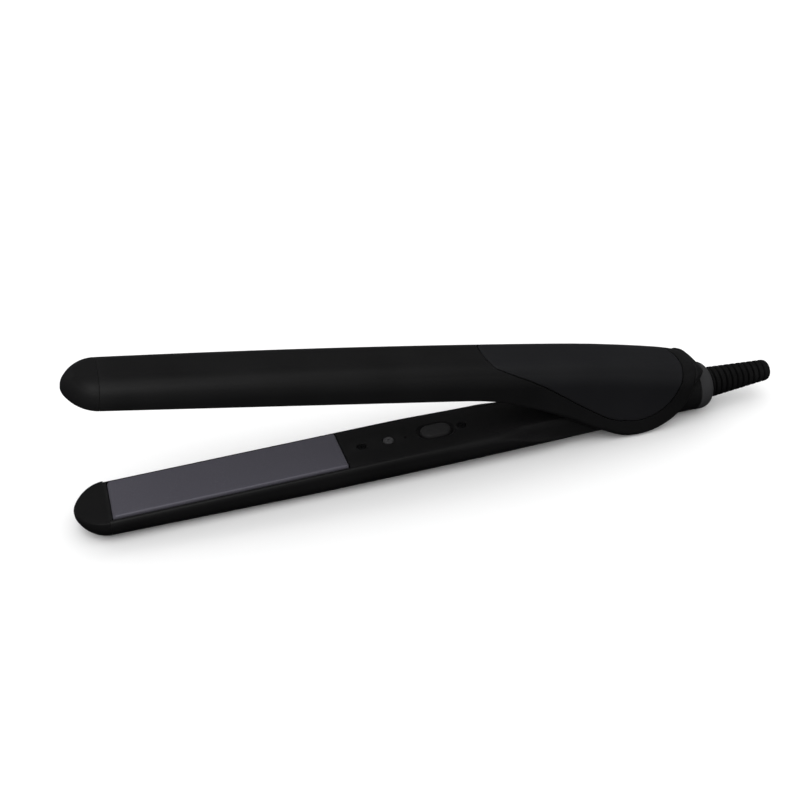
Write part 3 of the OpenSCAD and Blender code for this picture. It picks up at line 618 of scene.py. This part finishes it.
def laid_over(tree, factor, under, color):
    """A colour laid over another one, which is a socket or a plain colour."""
    node = tree.nodes.new("ShaderNodeMix")
    node.data_type = "RGBA"
    tree.links.new(factor, node.inputs[0])
    if isinstance(under, tuple):
        node.inputs[6].default_value = (*under, 1)
    else:
        tree.links.new(under, node.inputs[6])
    node.inputs[7].default_value = (*color, 1)
    return node.outputs[2]


def lighter(color, times, plus):
    return tuple(min(1.0, c * times + plus) for c in color)


def finish_material(name, color, rough, grain=2600, bump=0.12, metallic=0.0, spec=0.5, coat=0.0,
                    wear=0.25, dust=0.02, speckle=0.0, streak=None):
    """Worn edges, dust in patches, uneven gloss and a fine grain; speckle adds bright specks."""
    m = bpy.data.materials.new(name)
    m.use_nodes = True
    tree = m.node_tree
    bsdf = tree.nodes["Principled BSDF"]
    place = tree.nodes.new("ShaderNodeTexCoord").outputs["Object"]
    grain_place = place
    if streak:
        mapping = tree.nodes.new("ShaderNodeMapping")
        mapping.inputs["Scale"].default_value = streak
        tree.links.new(place, mapping.inputs["Vector"])
        grain_place = mapping.outputs["Vector"]
    fine = noise(tree, grain_place, grain, 4)
    broad = noise(tree, place, 38, 5)
    pointed = tree.nodes.new("ShaderNodeNewGeometry").outputs["Pointiness"]
    worn = product(tree, graded(tree, pointed, (0.52, 0.62), (0, wear)), broad)
    tint = laid_over(tree, worn, color, lighter(color, 2.2, 0.02))
    tint = laid_over(tree, graded(tree, broad, (0.35, 0.75), (0, dust)), tint, DUST)
    if speckle:
        specks = graded(tree, fine, (0.5, 0.72), (0, speckle))
        tint = laid_over(tree, specks, tint, lighter(color, 1.8, 0.03))
    tree.links.new(tint, bsdf.inputs["Base Color"])
    gloss = graded(tree, broad, (0, 1), (rough - 0.07, rough + 0.07))
    tree.links.new(gloss, bsdf.inputs["Roughness"])
    height = tree.nodes.new("ShaderNodeBump")
    height.inputs["Strength"].default_value = bump
    height.inputs["Distance"].default_value = 0.0002
    tree.links.new(fine, height.inputs["Height"])
    tree.links.new(height.outputs["Normal"], bsdf.inputs["Normal"])
    bsdf.inputs["Metallic"].default_value = metallic
    bsdf.inputs["Specular IOR Level"].default_value = spec
    bsdf.inputs["Coat Weight"].default_value = coat
    bsdf.inputs["Coat Roughness"].default_value = 0.25
    return m


DUST = (0.30, 0.30, 0.31)
FINISHES = {
    "shell_plastic": dict(color=(0.0046, 0.0046, 0.0049), rough=0.40, bump=0.30, wear=0.35, dust=0.006),
    "tip_plastic": dict(color=(0.0042, 0.0042, 0.0045), rough=0.45, bump=0.28, wear=0.3, dust=0.006),
    "panel_plastic": dict(color=(0.0090, 0.0092, 0.0106), rough=0.38, grain=3600, bump=0.05, wear=0.3,
                          dust=0.006),
    "plate_coating": dict(color=(0.142, 0.137, 0.167), rough=0.34, grain=2200, bump=0.10, metallic=0.55,
                          coat=0.15, wear=0.2, speckle=0.18),
    "button_plastic": dict(color=(0.017, 0.017, 0.0175), rough=0.5),
    "lens_plastic": dict(color=(0.05, 0.05, 0.052), rough=0.32, bump=0.03, coat=0.3),
    "collar_plastic": dict(color=(0.029, 0.029, 0.0305), rough=0.5, bump=0.15),
    "boot_rubber": dict(color=(0.0022, 0.0022, 0.0024), rough=0.62, grain=1800, bump=0.25, spec=0.25),
    "core_plastic": dict(color=(0.02, 0.02, 0.022), rough=0.55),
    "inner_plastic": dict(color=(0.02, 0.02, 0.02), rough=0.6),
    "ceramic": dict(color=(0.78, 0.75, 0.70), rough=0.6, grain=1500, bump=0.2),
    "spring_steel": dict(color=(0.55, 0.55, 0.57), rough=0.3, grain=900, bump=0.1, metallic=1.0,
                         streak=(1.0, 14.0, 1.0)),
    "screw_steel": dict(color=(0.02, 0.02, 0.021), rough=0.38, grain=1800, bump=0.1, metallic=0.8),
    "silicone": dict(color=(0.42, 0.07, 0.05), rough=0.5),
    "board": dict(color=(0.02, 0.10, 0.04), rough=0.45),
    "led_lens": dict(color=(0.6, 0.06, 0.04), rough=0.2),
    "wire_red": dict(color=(0.45, 0.02, 0.015), rough=0.45),
    "wire_blue": dict(color=(0.02, 0.03, 0.25), rough=0.45),
    "contact_brass": dict(color=(0.60, 0.42, 0.16), rough=0.32, grain=900, bump=0.1, metallic=1.0),
}
SLOTS = {name: finish_material(name, **look) for name, look in FINISHES.items()}

# CAD nodes without a finer piece keep their own mesh and take their slot's material
node_slot = {s["node"]: s["material_slot"] for s in frame["record"]["subparts"]}
for name, obj in frame["nodes"].items():
    obj.data.materials.clear()
    obj.data.materials.append(SLOTS[node_slot[name]])

PIECES = (
    (lower_housing, "lower_arm", ("lower_housing",)),
    (lower_tip, "lower_arm", ("lower_tip",)),
    (lower_plate, "lower_plate_float", ("lower_plate",)),
    (inner_cover, "lower_arm", ("inner_cover",)),
    (lower_screws, "lower_arm", ("inner_cover_screws",)),
    (button, "power_button", ("power_button",)),
    (lens, "lower_arm", ("indicator_lens",)),
    (collar, "lower_arm", ("rear_collar",)),
    (boot, "cord_swivel", ("strain_relief_boot",)),
    (upper_housing, "upper_arm", ("upper_housing",)),
    (hinge_panel, "upper_arm", ("hinge_panel",)),
    (upper_tip, "upper_arm", ("upper_tip",)),
    (upper_plate, "upper_plate_float", ("upper_plate",)),
    (upper_cover, "upper_arm", ("upper_inner_cover",)),
    (upper_screws, "upper_arm", ("upper_cover_screws",)),
)
for obj, body, nodes in PIECES:
    obj.data.materials.clear()
    obj.data.materials.append(SLOTS[node_slot[nodes[0]]])
    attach(obj, body)
    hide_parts(*nodes)

# ------------------------------------------------------------------ floor, light, camera
floor = build("floor", [(-4, -4, 0), (4, -4, 0), (4, 4, 0), (-4, 4, 0)], [[0, 1, 2, 3]],
              Matrix.Translation((0, 0, -0.0002)))
floor.data.materials.append(finish_material("floor_paint", (0.92, 0.92, 0.92), 0.9, grain=300,
                                            bump=0.02, dust=0.0, wear=0.0))
floor.visible_glossy = False
floor.visible_diffuse = False

# A studio that is white above and dark below. Glossy rays see almost none of it, so the near-black
# plastic keeps its depth and only the two soft lights shine in it.
world = bpy.data.worlds.new("studio")
bpy.context.scene.world = world
world.use_nodes = True
sky = world.node_tree
background = sky.nodes["Background"]
split = sky.nodes.new("ShaderNodeSeparateXYZ")
sky.links.new(sky.nodes.new("ShaderNodeTexCoord").outputs["Generated"], split.inputs["Vector"])
height = graded(sky, split.outputs["Z"], (-0.25, 0.35), (0.20, 1.24))
glossy = sky.nodes.new("ShaderNodeLightPath").outputs["Is Glossy Ray"]
strength = product(sky, height, graded(sky, glossy, (0, 1), (1.0, 0.01)))
sky.links.new(strength, background.inputs["Strength"])
background.inputs["Color"].default_value = (1, 1, 1, 1)
bpy.context.scene.view_settings.view_transform = "Standard"


def area_light(name, place, size, power):
    data = bpy.data.lights.new(name, "AREA")
    data.shape = "RECTANGLE"
    data.size, data.size_y = size
    data.energy = power
    obj = add_object(name, data)
    obj.location = place
    obj.rotation_euler = (LIGHT_AIM - Vector(place)).to_track_quat("-Z", "Y").to_euler()


LIGHT_AIM = Vector((0, 0, 0.02))
area_light("key", (-0.25, -0.5, 0.95), (0.9, 0.5), 1.25)
area_light("overhead", (0, -0.03, 1.1), (1.2, 0.25), 0.36)

# The camera stands over the front left of the iron, looking down at its near side. Its angles and, in
# mm, its distance from the plate's rear end and its shifts were fitted to the photograph.
azimuth, elevation, roll = (math.radians(a) for a in (-16.303, 33.773, -2.558))
distance, shift_right, shift_up = 503.4, 25.4, 20.88
back = Vector((math.sin(azimuth) * math.cos(elevation), -math.cos(azimuth) * math.cos(elevation),
               math.sin(elevation)))
right = Vector((math.cos(azimuth), math.sin(azimuth), 0))
up = back.cross(right)
right_r = right * math.cos(roll) + up * math.sin(roll)
up_r = up * math.cos(roll) - right * math.sin(roll)
eye = back * distance + right_r * shift_right + up_r * shift_up + Vector((PLATE_X1, 0, 0))
camera_data = bpy.data.cameras.new("camera")
camera_data.lens = 52.51
camera_data.sensor_width = 36
camera = add_object("camera", camera_data)
spin = LOWER.to_3x3().normalized() @ Matrix((right_r, up_r, back)).transposed()
camera.matrix_world = Matrix.Translation(LOWER @ eye) @ spin.to_4x4()
bpy.context.scene.camera = camera
